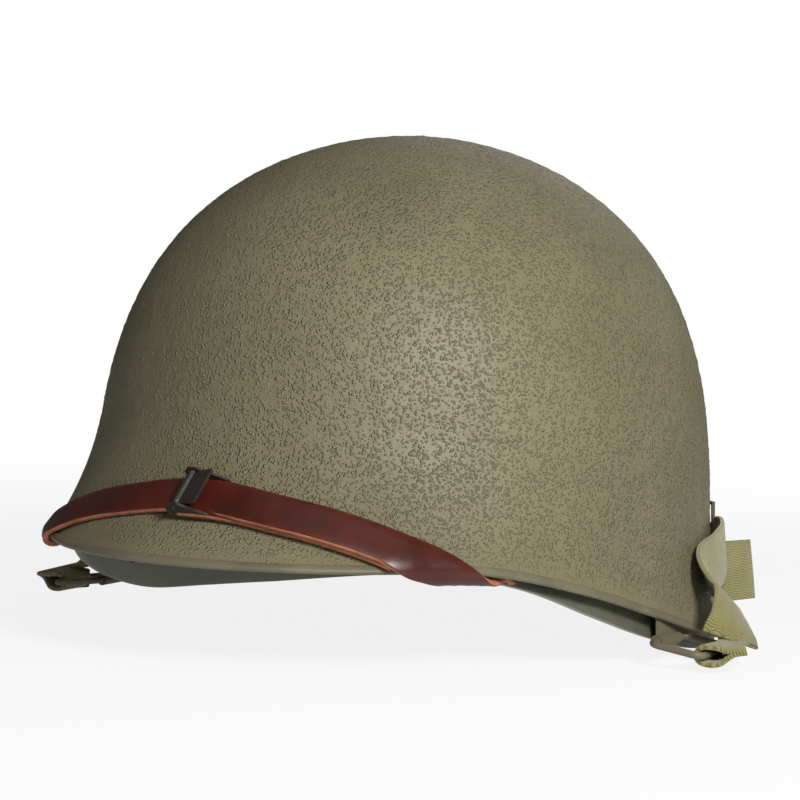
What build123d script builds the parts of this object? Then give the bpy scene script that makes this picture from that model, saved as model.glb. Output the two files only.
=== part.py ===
from build123d import *
import math
import os

os.makedirs("parts", exist_ok=True)

# Steel pot. Heights are measured up from the lowest point of its rim.
pot_height = 175.0
pot_front = 130.0
pot_side = 111.5
pot_rear = 115.5
pot_wall = 1.1
brim_flare = 34.0
side_flare = 9.5
rear_flare = 8.0
brim_rise = 44.5
skirt_rise = 28.0
brim_level = 27.6
side_level = 3.0
rear_level = 5.0
stand_height = 6.5

# Exponents of the dome's outline in side view, and the shares of its height where it is cut
crown_power = 3.49
round_power = 1.91
level_shares = (-0.06, 0.0, 0.06, 0.12, 0.18, 0.25, 0.33, 0.42, 0.52, 0.62, 0.71, 0.79,
                0.86, 0.915, 0.955, 0.98, 0.993, 0.999)

# Rim seen from the side: share of the front reach, share of the brim's level
pot_rim_shares = ((-2.0, 1.03), (-1.5, 1.03), (-1.14, 1.03), (-0.85, 1.0), (-0.58, 0.73),
                  (-0.31, 0.38), (-0.04, 0.06), (0.24, 0.0), (0.5, 0.01), (0.77, 0.13), (1.0, 0.31),
                  (1.2, 0.48))
liner_rim_shares = ((-2.0, 1.0), (-1.5, 1.0), (-1.14, 1.0), (-0.97, 0.98), (-0.82, 0.9),
                    (-0.69, 0.75), (-0.51, 0.42), (-0.31, 0.12), (-0.04, -0.16), (0.24, -0.25),
                    (0.5, -0.245), (0.77, -0.11), (1.0, 0.08), (1.2, 0.22))

# Folded strip that hems the pot's rim
hem_wall = 0.7
hem_height = 3.0

# Liner shell inside the pot
liner_gap = 1.6
liner_wall = 2.4
liner_brim_flare = 20.7
liner_side_flare = 3.6
liner_rear_flare = 2.2
liner_brim_rise = 40.0
soft_gap = 0.3

# Web band and crown straps that carry the head
band_low = 46.0
band_width = 24.0
web_thick = 1.5
crown_strap_width = 19.0
crown_strap_low = 48.0
crown_bend_share = 0.503
crown_share = 0.8114
crown_ring_reach = 25.0
wall_steps = 4
bend_steps = 8
bow_gap = 1.3
lace_radius = 1.5
lace_corner = 6.0
knot_radius = 2.8
strap_bearings = (30, 90, 150, 210, 270, 330)
clip_bearings = (0, 60, 120, 180, 240, 300)
crown_strap_names = ("front_left", "side_left", "rear_left", "rear_right", "side_right", "front_right")

# Triangular washers and the rivets through them
washer_side = 22.0
washer_round = 3.0
washer_thick = 0.8
washer_gap = 0.5
rivet_height = 58.0
rivet_radius = 1.6
rivet_head_radius = 4.2
rivet_head_thick = 0.9
rivet_clench_radius = 2.8
hole_slack = 0.1

# Leather sweatband and its clips
sweat_low = 30.0
sweat_width = 28.0
sweat_thick = 2.0
sweat_inset = 15.0
clip_width = 9.0
clip_wall = 0.6
clip_reach = 11.0
clip_gap = 0.25
clip_clear = 1.3
sweat_buckle_width = 20.0
sweat_buckle_height = 22.0
sweat_buckle_wire = 1.0

# Nape strap
nape_low = 2.0
nape_width = 20.0
nape_inset = 3.4
nape_start = 62.0
nape_bearings = (133, 180, 227)
snap_radius = 5.0
snap_thick = 1.6
snap_lift = 0.25

# Front eyelet
eyelet_height = 84.0
eyelet_bore = 2.6
eyelet_wall = 0.6
eyelet_flange_radius = 5.0
eyelet_flange_thick = 0.5

# Chin strap studs of the liner, and the plates of the strap that turn on them
stud_back = 16.0
stud_height = 14.0
stud_radius = 1.6
stud_head_radius = 4.5
stud_head_thick = 0.9
stud_knob_radius = 3.4
stud_knob_thick = 1.2
stud_neck = 5.0
end_plate_depth = 3.1
end_plate_thick = 1.0
end_plate_radius = 5.5
end_plate_reach = 16.4
end_plate_slack = 0.3

# Leather chin strap, laid over the brim: degrees round from the front, shares of the brim's level
strap_width = 13.0
strap_thick = 2.0
strap_double = 3.9
strap_seat = 0.8
buckle_seat = 2.0
strap_bearings_brim = (0.0, 4.0, 9.0, 14.0, 20.0, 27.0, 34.0, 41.0)
strap_level_shares = (1.71, 1.7, 1.66, 1.6, 1.53, 1.42, 1.28, 1.1)
seated_stations = 2
doubled_stations = 5

hem_seat = 1.3

# Where the strap bends round the rim: the place in shares of the pot's reaches and the brim's
# level, the way out from the rim there, and the bend's side view in shares of the strap's thickness
turn_place_shares = (0.695, -0.908, 1.0)
turn_out = (0.817, -0.577, 0.0)
turn_view_shares = ((-1.8, 4.2), (0.95, 0.68), (1.15, -0.75), (0.2, -1.6), (-2.5, -1.6))
turn_length = 16.0

# Run inside, from under the rim to the stud, and the way its smooth face looks there
run_shares = ((0.695, -0.885, 0.884), (0.73, -0.79, 0.79), (0.735, -0.69, 0.72), (0.765, -0.6, 0.68),
              (0.805, -0.523, 0.62), (0.875, -0.385, 0.55), (0.915, -0.19, 0.5))
run_faces = ((0.0, 0.0, -1.0), (0.0, 0.1, -1.0), (-0.5, 0.2, -0.8), (-0.8, 0.3, -0.45), (-0.93, 0.3, -0.2),
             (-0.97, 0.2, 0.0), (-0.99, 0.1, 0.0))

# Strap buckle: a U of sheet with a cam lever between its cheeks
buckle_length = 15.0
buckle_sheet = 0.8
cheek_gap = 0.4
cheek_over = 1.7
cheek_tip_rise = 1.2
cheek_flat = 3.6
pivot_back = 4.2
pivot_radius = 0.8
pivot_head = 0.4
barrel_radius = 1.5
lever_length = 8.5
lever_sheet = 0.9
lever_tilt = 16.0
running_gap = 0.06
lever_gap = 0.3

# Swinging wire bales under the rim, and their brackets
bale_ahead = 30.0
bale_level = 1.6
bale_inset = 1.2
bale_wire = 1.25
bale_length = 26.0
bale_reach = 18.0
bale_corner = 3.0
bale_droop = 7.0
bracket_length = 16.0
bracket_sheet = 0.9
bracket_low = 8.5
bracket_knee = 14.0
bracket_step = 3.0
bracket_high = 24.0
bracket_bite = 0.1

# Web chin straps, hooked together behind the pot
web_width = 19.0
web_fold = 1.8
fold_clear = 0.5
fold_flat = 0.4
web_clear = 4.0
web_leave_shares = ((1.14, -0.22, 0.35), (1.12, -0.15, 0.62), (1.1, -0.06, 0.75))
web_bearings = (97.0, 106.0, 114.0)
web_level_shares = (0.8, 0.86, 0.98)
straight_end = 4.0
back_bearings = (-97.0, -106.0, -114.0, -122.0, -135.0, -150.0, -165.0, 180.0, 165.0, 150.0, 140.0)
back_level_shares = (0.8, 0.86, 0.98, 1.08, 1.15, 1.25, 1.33, 1.37, 1.35, 1.25, 1.17)
hook_bearing = 128.5
hook_level_share = 1.11
hook_back = 13.0
hook_length = 6.0
hook_tongue = 6.0
hook_tongue_width = 5.0
ball_radius = 1.7
frame_wire = 1.2
frame_width = 22.4
ladder_length = 8.0
ladder_ahead = 0.9
bar_clear = 0.4
tail_thick = 3.0
tail_shares = ((0.91, 0.54, 1.09), (0.93, 0.535, 0.65), (0.95, 0.52, 0.3))
tail_face = (0.98, 0.0, 0.2)
tip_wall = 0.5
tip_length = 5.0

overrun = 40.0
probe = 0.05


class Dome:
    """Outline of a shell: an oval dome whose lower wall flares out to its rim."""

    def __init__(self, crown, reaches, flares, rises):
        self.crown = crown
        self.reaches = reaches
        self.flares = flares
        self.rises = rises
        self.levels = (brim_level, side_level, rear_level)

    def half_axis(self, side, height, inset):
        """Half axis of the oval to the front, side or rear (0, 1 or 2) at one height."""
        climb = min(max(height / (self.crown - inset), 0.0), 1.0)
        dome = (self.reaches[side] - inset) * (1 - climb**crown_power) ** (1 / round_power)
        turn = max(1 - (height - self.levels[side]) / self.rises[side], 0.0)
        lean = 2 * self.flares[side] * turn / self.rises[side]
        return dome + self.flares[side] * turn**2 - inset * (math.hypot(1, lean) - 1)

    def outline(self, height, inset):
        front, side, rear = (self.half_axis(i, height, inset) for i in range(3))
        with BuildSketch(Plane.XY.offset(stand_height + height)) as cut:
            with BuildLine():
                EllipticalCenterArc((0, 0), side, front, 180, arc_size=180)
                EllipticalCenterArc((0, 0), side, rear, 0, arc_size=180)
            make_face()
        return cut.sketch

    def stack(self, inset):
        """Outlines up the whole dome."""
        return [self.outline(share * (self.crown - inset), inset) for share in level_shares]

    def ring(self, low, high, inset):
        """Outlines of a band that follows the wall between two heights."""
        return [self.outline(low + (high - low) * step / 3, inset) for step in range(4)]

    def point(self, bearing, height, inset):
        """Point on the wall; the bearing is in degrees from the front towards the left side."""
        turn = math.radians(bearing)
        front = self.half_axis(0 if math.cos(turn) > 0 else 2, height, inset)
        side = self.half_axis(1, height, inset)
        return Vector(side * math.sin(turn), -front * math.cos(turn), stand_height + height)

    def polar(self, bearing, height, inset):
        """Point on the wall in one true compass direction."""
        turn = math.radians(bearing)
        front = self.half_axis(0 if math.cos(turn) > 0 else 2, height, inset)
        side = self.half_axis(1, height, inset)
        reach = 1 / math.hypot(math.sin(turn) / side, math.cos(turn) / front)
        return Vector(reach * math.sin(turn), -reach * math.cos(turn), stand_height + height)

    def facing(self, place, bearing, height, inset):
        """Outward normal of the wall at a place given by point or polar."""
        up = place(bearing, height + probe, inset) - place(bearing, height - probe, inset)
        step = math.degrees(probe / self.reaches[1])
        round_way = place(bearing + step, height, inset) - place(bearing - step, height, inset)
        return round_way.cross(up).normalized()

    def side_at(self, back, height, inset):
        """Distance of the side wall from the middle plane, at a distance ahead of the side."""
        front = self.half_axis(0, height, inset)
        return self.half_axis(1, height, inset) * math.sqrt(1 - (back / front) ** 2)


pot = Dome(pot_height, (pot_front, pot_side, pot_rear), (brim_flare, side_flare, rear_flare),
           (brim_rise, skirt_rise, skirt_rise))
nest = pot_wall + liner_gap
liner = Dome(pot_height - nest, (pot_front - nest, pot_side - nest, pot_rear - nest),
             (liner_brim_flare, liner_side_flare, liner_rear_flare),
             (liner_brim_rise, skirt_rise, skirt_rise))
head = Dome(liner.crown, liner.reaches, (0, 0, 0), liner.rises)


def rim_line(shares, lift):
    return [(ahead * pot_front, stand_height + up * brim_level + lift) for ahead, up in shares]


def below_rim(shares):
    """Side view of all that lies under a rim line, or under the ground."""
    line = rim_line(shares, 0)
    with BuildSketch(Plane.YZ) as cut:
        with BuildLine():
            Spline(*line)
            Polyline(line[-1], (line[-1][0], -overrun), (line[0][0], -overrun), line[0])
        make_face()
        with Locations((line[0][0], 0)):
            Rectangle(line[-1][0] - line[0][0], overrun, align=(Align.MIN, Align.MAX))
    return cut.sketch


def along_rim(shares, low, high):
    """Side view of a strip that follows a rim line."""
    bottom = rim_line(shares, low)
    top = rim_line(shares, high)
    with BuildSketch(Plane.YZ) as cut:
        with BuildLine():
            Spline(*bottom)
            Line(bottom[-1], top[-1])
            Spline(*top)
            Line(bottom[0], top[0])
        make_face()
    return cut.sketch


def ribbon(points, faces, width, thicks):
    """Cross-sections of a flat strap along a row of points, each with the way its face looks."""
    cuts = []
    for i, (spot, face, thick) in enumerate(zip(points, faces, thicks)):
        along = (points[min(i + 1, len(points) - 1)] - points[max(i - 1, 0)]).normalized()
        across = along.cross(face).normalized()
        with BuildSketch(Plane(origin=spot, x_dir=across, z_dir=along)) as cut:
            Rectangle(width, thick)
        cuts.append(cut.sketch)
    return cuts


def save(piece, name):
    piece.label = name
    export_step(piece, f"parts/{name}.step")


def mirrored(spot):
    return Vector(-spot.X, spot.Y, spot.Z)


# Steel shell
pot_outer = pot.stack(0)
pot_inner = pot.stack(pot_wall)
pot_below = below_rim(pot_rim_shares)
with BuildPart() as steel_shell:
    loft(sections=pot_outer)
    loft(sections=pot_inner, mode=Mode.SUBTRACT)
    extrude(pot_below, amount=2 * pot_side, both=True, mode=Mode.SUBTRACT)
save(steel_shell.part, "steel_shell")

# Rim hem: a strip folded round the pot's edge
hem_top = brim_level + 3 * hem_height
hem_levels = (-stand_height, 0, side_level, brim_level, hem_top)
hem_outer = [pot.outline(height, -hem_wall) for height in hem_levels]
hem_inner = [pot.outline(height, pot_wall + hem_wall) for height in hem_levels]
hem_strip = along_rim(pot_rim_shares, -hem_wall, hem_height)
with BuildPart() as rim_band:
    loft(sections=hem_outer)
    loft(sections=hem_inner, mode=Mode.SUBTRACT)
    extrude(hem_strip, amount=2 * pot_side, both=True, mode=Mode.INTERSECT)
    add(steel_shell.part, mode=Mode.SUBTRACT)
save(rim_band.part, "rim_band")

# Liner shell, with its holes for rivets, eyelet and studs
liner_outer = liner.stack(0)
liner_inner = liner.stack(liner_wall)
liner_below = below_rim(liner_rim_shares)


def wall_plane(place, bearing, height):
    """Plane on the liner's outer face, looking outwards."""
    spot = place(bearing, height, 0)
    face = liner.facing(place, bearing, height, 0)
    level = Vector(0, 0, 1).cross(face).normalized()
    return Plane(origin=spot, x_dir=level, z_dir=face)


rivet_planes = [wall_plane(liner.polar, bearing, rivet_height) for bearing in strap_bearings]
snap_planes = [wall_plane(liner.polar, bearing, nape_low + nape_width / 2) for bearing in nape_bearings]
eyelet_plane = wall_plane(liner.polar, 0, eyelet_height)
stud_wall = liner.side_at(stud_back, stud_height, 0)
stud_level = stand_height + stud_height
stud_planes = {"left": Plane(origin=(stud_wall, -stud_back, stud_level), z_dir=(1, 0, 0)),
               "right": Plane(origin=(-stud_wall, -stud_back, stud_level), z_dir=(-1, 0, 0))}
with BuildPart() as liner_shell:
    loft(sections=liner_outer)
    loft(sections=liner_inner, mode=Mode.SUBTRACT)
    extrude(liner_below, amount=2 * pot_side, both=True, mode=Mode.SUBTRACT)
    with Locations(*[Location(plane) for plane in rivet_planes + snap_planes]):
        Cylinder(rivet_radius + hole_slack, 4 * liner_wall, mode=Mode.SUBTRACT)
    with Locations(Location(eyelet_plane)):
        Cylinder(eyelet_bore + eyelet_wall + hole_slack, 4 * liner_wall, mode=Mode.SUBTRACT)
    with Locations(*[Location(plane) for plane in stud_planes.values()]):
        Cylinder(stud_radius + hole_slack, 4 * liner_wall, mode=Mode.SUBTRACT)
save(liner_shell.part, "liner_shell")

# Web band round the inside of the liner
soft_start = liner_wall + soft_gap
with BuildPart() as suspension_band:
    loft(sections=liner.ring(band_low, band_low + band_width, soft_start))
    loft(sections=liner.ring(band_low, band_low + band_width, soft_start + web_thick), mode=Mode.SUBTRACT)
    with Locations(*[Location(plane) for plane in rivet_planes]):
        Cylinder(rivet_radius + hole_slack, 6 * liner_wall, mode=Mode.SUBTRACT)
save(suspension_band.part, "suspension_band")

# Crown straps: each runs up the band, bends in over the head and loops round the lace
crown_bend_height = crown_bend_share * pot_height
crown_height = crown_share * pot_height
bow = crown_strap_width**2 / (8 * liner.half_axis(1, rivet_height, soft_start))
strap_inset = soft_start + web_thick + bow + bow_gap + web_thick / 2
loop_radius = lace_radius + soft_gap + web_thick
upright_view = Vector(0, 0, 1)
for name, bearing, hole in zip(crown_strap_names, strap_bearings, rivet_planes):
    spots = []
    faces = []
    for step in range(wall_steps + 1):
        height = crown_strap_low + (crown_bend_height - crown_strap_low) * step / wall_steps
        spots.append(liner.polar(bearing, height, strap_inset))
        faces.append(liner.facing(liner.polar, bearing, height, strap_inset))
    way = Vector(spots[-1].X, spots[-1].Y, 0).normalized()
    reach = math.hypot(spots[-1].X, spots[-1].Y)
    bend_end = crown_ring_reach + loop_radius - web_thick / 2
    rise = crown_height - crown_bend_height
    for step in range(1, bend_steps + 1):
        turn = math.radians(90 * step / bend_steps)
        spots.append(way * (bend_end + (reach - bend_end) * math.cos(turn))
                     + upright_view * (stand_height + crown_bend_height + rise * math.sin(turn)))
        bend_face = way * rise * math.cos(turn) + upright_view * (reach - bend_end) * math.sin(turn)
        faces.append(bend_face.normalized())
    loop_view = Plane(origin=way * crown_ring_reach + upright_view * (stand_height + crown_height),
                      x_dir=way, z_dir=way.cross(upright_view))
    with BuildPart() as crown_strap:
        loft(sections=ribbon(spots, faces, crown_strap_width, [web_thick] * len(spots)), ruled=True)
        with BuildSketch(loop_view):
            Circle(loop_radius)
        extrude(amount=crown_strap_width / 2, both=True)
        with BuildSketch(loop_view):
            Circle(lace_radius + soft_gap)
        extrude(amount=crown_strap_width / 2, both=True, mode=Mode.SUBTRACT)
        with Locations(Location(hole)):
            Cylinder(rivet_radius + hole_slack, 8 * liner_wall, mode=Mode.SUBTRACT)
    save(crown_strap.part, f"crown_strap_{name}")

# Crown lace: a cord through the six loops, tied in a knot between the two rear straps
lace_level = stand_height + crown_height
corner_reach = crown_ring_reach / math.cos(math.radians(30))
lace_corners = [(corner_reach * math.cos(math.radians(turn)), corner_reach * math.sin(math.radians(turn)))
                for turn in strap_bearings]
with BuildPart() as crown_lace:
    with BuildLine(Plane.XY.offset(lace_level)) as lace_run:
        FilletPolyline(*lace_corners, radius=lace_corner, close=True)
    with BuildSketch(Plane(origin=lace_run.line @ 0, z_dir=lace_run.line % 0)):
        Circle(lace_radius)
    sweep(path=lace_run.line)
    with Locations(Location((0, corner_reach - knot_radius / 2, lace_level), (0, 90, 0))):
        Cylinder(knot_radius, 2 * knot_radius)
save(crown_lace.part, "crown_lace")

# Triangular washers on the crown straps, and the rivets through washer, strap, band and shell
washer_depth = strap_inset + web_thick / 2 + washer_gap
washer_reach = washer_side / math.sqrt(3)
washer_corners = [(washer_reach * math.cos(math.radians(turn)), washer_reach * math.sin(math.radians(turn)))
                  for turn in (90, 210, 330)]
with BuildPart() as a_washers:
    for plane in rivet_planes:
        with BuildSketch(plane.offset(-washer_depth - washer_thick)) as washer:
            Polygon(*washer_corners, align=None)
            fillet(washer.vertices(), washer_round)
            Circle(rivet_radius + hole_slack, mode=Mode.SUBTRACT)
        extrude(amount=washer_thick)
save(a_washers.part, "a_washers")

upright = (Align.CENTER, Align.CENTER, Align.MIN)
rivet_depth = washer_depth + washer_thick
with BuildPart() as rivets:
    with Locations(*[Location(plane) for plane in rivet_planes]):
        Cylinder(rivet_head_radius, rivet_head_thick, align=upright)
    with Locations(*[Location(plane.offset(-rivet_depth)) for plane in rivet_planes]):
        Cylinder(rivet_radius, rivet_depth, align=upright)
    with Locations(*[Location(plane.offset(-rivet_depth - rivet_head_thick)) for plane in rivet_planes]):
        Cylinder(rivet_clench_radius, rivet_head_thick, align=upright)
    add(liner_shell.part, mode=Mode.SUBTRACT)
save(rivets.part, "suspension_rivets")

# Sweatband, a leather hoop inside the web band
sweat_high = sweat_low + sweat_width
with BuildPart() as sweatband:
    loft(sections=head.ring(sweat_low, sweat_high, sweat_inset))
    loft(sections=head.ring(sweat_low, sweat_high, sweat_inset + sweat_thick), mode=Mode.SUBTRACT)
save(sweatband.part, "sweatband")

# Clips that hang the sweatband on the web band, midway between the crown straps
clip_top = sweat_high + soft_gap + clip_wall / 2
with BuildPart() as sweatband_clips:
    for bearing in clip_bearings:
        way = Vector(math.sin(math.radians(bearing)), -math.cos(math.radians(bearing)), 0)
        side_view = Plane(origin=(0, 0, stand_height), x_dir=way, z_dir=way.cross(Vector(0, 0, 1)))
        inner = head.polar(bearing, sweat_high - clip_reach / 2, sweat_inset + sweat_thick)
        outer = liner.polar(bearing, clip_top + clip_reach, soft_start + web_thick)
        inner_reach = math.hypot(inner.X, inner.Y) - clip_clear - clip_wall
        outer_reach = math.hypot(outer.X, outer.Y) - clip_gap - clip_wall
        with BuildSketch(side_view):
            with BuildLine():
                Polyline((inner_reach, sweat_high - clip_reach), (inner_reach, clip_top),
                         (outer_reach, clip_top), (outer_reach, clip_top + clip_reach / 2))
                offset(amount=clip_wall / 2)
            make_face()
        extrude(amount=clip_width / 2, both=True)
save(sweatband_clips.part, "sweatband_clips")

# Nape strap across the back, and its three snaps
nape_high = nape_low + nape_width
with BuildPart() as nape_strap:
    loft(sections=liner.ring(nape_low, nape_high, nape_inset))
    loft(sections=liner.ring(nape_low, nape_high, nape_inset + web_thick), mode=Mode.SUBTRACT)
    with Locations((0, nape_start, stand_height + nape_low)):
        Box(2 * pot_side, 2 * pot_rear, 2 * nape_width, align=(Align.CENTER, Align.MIN, Align.CENTER),
            mode=Mode.INTERSECT)
    with Locations(*[Location(plane) for plane in snap_planes]):
        Cylinder(rivet_radius + hole_slack, 6 * liner_wall, mode=Mode.SUBTRACT)
save(nape_strap.part, "nape_strap")

snap_depth = nape_inset + web_thick + soft_gap
with BuildPart() as nape_snaps:
    with Locations(*[Location(plane.offset(snap_lift)) for plane in snap_planes]):
        Cylinder(rivet_head_radius, rivet_head_thick, align=upright)
    with Locations(*[Location(plane.offset(-snap_depth)) for plane in snap_planes]):
        Cylinder(rivet_radius, snap_depth + snap_lift, align=upright)
    with Locations(*[Location(plane.offset(-snap_depth - snap_thick)) for plane in snap_planes]):
        Cylinder(snap_radius, snap_thick, align=upright)
save(nape_snaps.part, "nape_snaps")

# Front eyelet, a flanged tube through the liner
with BuildPart() as front_eyelet:
    with Locations(Location(eyelet_plane.offset(-liner_wall - eyelet_flange_thick))):
        Cylinder(eyelet_bore + eyelet_wall, liner_wall + 2 * eyelet_flange_thick, align=upright)
        Cylinder(eyelet_flange_radius, eyelet_flange_thick, align=upright)
    with Locations(Location(eyelet_plane)):
        Cylinder(eyelet_flange_radius, eyelet_flange_thick, align=upright)
        Cylinder(eyelet_bore, 4 * liner_wall, mode=Mode.SUBTRACT)
    add(liner_shell.part, mode=Mode.SUBTRACT)
save(front_eyelet.part, "front_eyelet")

# Studs that the chin strap turns on, and the strap's end plates
stud_depth = liner_wall + stud_neck
for side, plane in stud_planes.items():
    with BuildPart() as chin_stud:
        with Locations(Location(plane)):
            Cylinder(stud_head_radius, stud_head_thick, align=upright)
        with Locations(Location(plane.offset(-stud_depth))):
            Cylinder(stud_radius, stud_depth, align=upright)
        with Locations(Location(plane.offset(-stud_depth - stud_knob_thick))):
            Cylinder(stud_knob_radius, stud_knob_thick, align=upright)
        add(liner_shell.part, mode=Mode.SUBTRACT)
    save(chin_stud.part, f"chin_stud_{side}")

    plate_face = Plane(origin=plane.offset(-liner_wall - end_plate_depth).origin, x_dir=(0, -1, 0),
                       z_dir=plane.z_dir)
    with BuildPart() as end_plate:
        with BuildSketch(plate_face):
            Circle(end_plate_radius)
            Rectangle(end_plate_reach, 2 * end_plate_radius, align=(Align.MIN, Align.CENTER))
            Circle(stud_radius + end_plate_slack, mode=Mode.SUBTRACT)
        extrude(amount=-end_plate_thick)
    save(end_plate.part, f"strap_end_{side}")

# Leather chin strap from stud to stud, over the brim. On the left it lies double.
brim_points = []
brim_faces = []
brim_thicks = []
last = len(strap_bearings_brim) - 1
for side in (-1, 1):
    order = range(last, 0, -1) if side < 0 else range(last + 1)
    for i in order:
        doubled = side > 0 and seated_stations <= i < seated_stations + doubled_stations
        thick = strap_double if doubled else strap_thick
        seat = buckle_seat if i < seated_stations else hem_seat if i > last - 2 else strap_seat
        level = strap_level_shares[i] * brim_level
        brim_points.append(pot.point(side * strap_bearings_brim[i], level, -seat - thick / 2))
        brim_faces.append(pot.facing(pot.point, side * strap_bearings_brim[i], level, -seat - thick / 2))
        brim_thicks.append(thick)
run_points = [Vector(side * pot_side, ahead * pot_front, stand_height + up * brim_level)
              for side, ahead, up in run_shares]
run_looks = [Vector(*face).normalized() for face in run_faces]
turn_side, turn_ahead, turn_up = turn_place_shares
turn_spot = Vector(turn_side * pot_side, turn_ahead * pot_front, stand_height + turn_up * brim_level)
turn_view = Plane(origin=turn_spot, x_dir=turn_out, z_dir=Vector(*turn_out).cross(upright_view))
with BuildPart() as strap_run:
    loft(sections=ribbon(run_points, run_looks, strap_width, [strap_thick] * len(run_points)), ruled=True)
    with BuildSketch(turn_view):
        with BuildLine():
            Polyline(*[(out * strap_thick, up * strap_thick) for out, up in turn_view_shares])
            offset(amount=strap_thick / 2)
        make_face()
    extrude(amount=turn_length / 2, both=True)
with BuildPart() as leather_strap:
    loft(sections=ribbon(brim_points, brim_faces, strap_width, brim_thicks), ruled=True)
    add(strap_run.part)
    add(mirror(strap_run.part, about=Plane.YZ))
save(leather_strap.part, "leather_strap")

# Strap buckle at the middle of the brim. Its plane lies on the strap's inner face.
middle = brim_faces[last]
buckle_plane = Plane(origin=brim_points[last] - middle * strap_thick / 2, x_dir=(1, 0, 0), z_dir=middle)
cheek_view = Plane(origin=buckle_plane.origin, x_dir=buckle_plane.x_dir,
                   z_dir=buckle_plane.x_dir.cross(buckle_plane.z_dir))
cheek_inner = strap_width / 2 + cheek_gap
pivot_level = strap_thick + soft_gap + barrel_radius
cheek_top = pivot_level + cheek_over
base_top = -soft_gap
base_low = base_top - buckle_sheet
with BuildPart() as strap_buckle:
    with BuildSketch(buckle_plane.offset(base_low)):
        Rectangle(buckle_length, 2 * (cheek_inner + buckle_sheet))
    extrude(amount=buckle_sheet)
    for start in (cheek_inner, -cheek_inner - buckle_sheet):
        with BuildSketch(cheek_view.offset(start)):
            with BuildLine():
                Polyline((-buckle_length / 2, base_low), (buckle_length / 2, base_low),
                         (buckle_length / 2, cheek_tip_rise), (cheek_flat / 2 - pivot_back, cheek_top),
                         (-cheek_flat / 2 - pivot_back, cheek_top), (-buckle_length / 2, pivot_level),
                         close=True)
            make_face()
            with Locations((-pivot_back, pivot_level)):
                Circle(pivot_radius, mode=Mode.SUBTRACT)
        extrude(amount=buckle_sheet)
save(strap_buckle.part, "strap_buckle")

pin_length = 2 * (cheek_inner + buckle_sheet + pivot_head)
pivot_plane = Plane(origin=(cheek_view * Location((-pivot_back, pivot_level, 0))).position,
                    x_dir=cheek_view.x_dir, z_dir=cheek_view.z_dir)
with BuildPart() as buckle_pin:
    with BuildSketch(pivot_plane):
        Circle(pivot_radius)
    extrude(amount=pin_length / 2, both=True)
save(buckle_pin.part, "buckle_pin")

with BuildPart() as buckle_lever:
    with BuildSketch(pivot_plane):
        Circle(barrel_radius)
        with Locations(Location((0, 0, 0), (0, 0, lever_tilt))):
            Rectangle(lever_length, lever_sheet, align=(Align.MIN, Align.CENTER))
        Circle(pivot_radius + running_gap, mode=Mode.SUBTRACT)
    extrude(amount=cheek_inner - lever_gap, both=True)
save(buckle_lever.part, "buckle_lever")

# Bale on the left: a wire loop that swings in a sheet bracket inside the rim
hinge_side = pot.side_at(bale_ahead, bracket_low, pot_wall) - bale_inset
hinge_spot = Vector(hinge_side, -bale_ahead, stand_height + bale_level)
fore = pot.side_at(bale_ahead + probe, bracket_low, pot_wall)
aft = pot.side_at(bale_ahead - probe, bracket_low, pot_wall)
hinge_way = Vector(aft - fore, 2 * probe, 0).normalized()
out_way = hinge_way.cross(Vector(0, 0, 1)).normalized()
droop = math.radians(bale_droop)
reach_way = out_way * math.cos(droop) - Vector(0, 0, 1) * math.sin(droop)
bale_plane = Plane(origin=hinge_spot, x_dir=hinge_way, z_dir=hinge_way.cross(reach_way))
with BuildPart() as bale_left:
    with BuildLine(bale_plane) as loop:
        FilletPolyline((-bale_length / 2, 0), (bale_length / 2, 0), (bale_length / 2, bale_reach),
                       (-bale_length / 2, bale_reach), radius=bale_corner, close=True)
    with BuildSketch(Plane(origin=loop.line @ 0, z_dir=loop.line % 0)):
        Circle(bale_wire)
    sweep(path=loop.line)
save(bale_left.part, "bale_left")

barrel = bale_wire + hole_slack
wall_view = Plane(origin=hinge_spot, x_dir=out_way, z_dir=-hinge_way)
leg = []
for height, inset in ((bracket_low, hem_wall + soft_gap), (bracket_knee, hem_wall + soft_gap),
                      (bracket_knee + bracket_step, -bracket_bite), (bracket_high, -bracket_bite)):
    face = pot.side_at(bale_ahead, height, pot_wall) - hinge_side
    leg.append((face - bracket_sheet / 2 - inset, height - bale_level))
with BuildPart() as bracket_left:
    with BuildSketch(wall_view):
        with BuildLine():
            Polyline((0, barrel + bracket_sheet / 2), *leg)
            offset(amount=bracket_sheet / 2)
        make_face()
        Circle(barrel + bracket_sheet)
        Circle(barrel, mode=Mode.SUBTRACT)
    extrude(amount=bracket_length / 2, both=True)
    add(steel_shell.part, mode=Mode.SUBTRACT)
    add(rim_band.part, mode=Mode.SUBTRACT)
save(bracket_left.part, "bale_bracket_left")
save(mirror(bale_left.part, about=Plane.YZ), "bale_right")
save(mirror(bracket_left.part, about=Plane.YZ), "bale_bracket_right")

# Web straps. Each is folded round its bale, runs back along the pot and is hooked behind it.
bar_spot = hinge_spot + reach_way * bale_reach
fold_inner = bale_wire + fold_clear
fold_outer = fold_inner + web_fold
fold_drop = bar_spot.Z - fold_outer + fold_flat
fold_view = Plane(origin=bar_spot, x_dir=out_way, z_dir=-hinge_way)
with BuildPart() as fold_left:
    with BuildSketch(fold_view):
        Circle(fold_outer)
        with Locations((0, -fold_drop)):
            Circle(fold_outer)
        with Locations((0, -fold_drop / 2)):
            Rectangle(2 * fold_outer, fold_drop)
            Rectangle(2 * fold_inner, fold_drop, mode=Mode.SUBTRACT)
        Circle(fold_inner, mode=Mode.SUBTRACT)
        with Locations((0, -fold_drop)):
            Circle(fold_inner, mode=Mode.SUBTRACT)
    extrude(amount=web_width / 2, both=True)
    Box(4 * pot_side, 4 * pot_front, overrun, align=(Align.CENTER, Align.CENTER, Align.MAX),
        mode=Mode.SUBTRACT)
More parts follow.
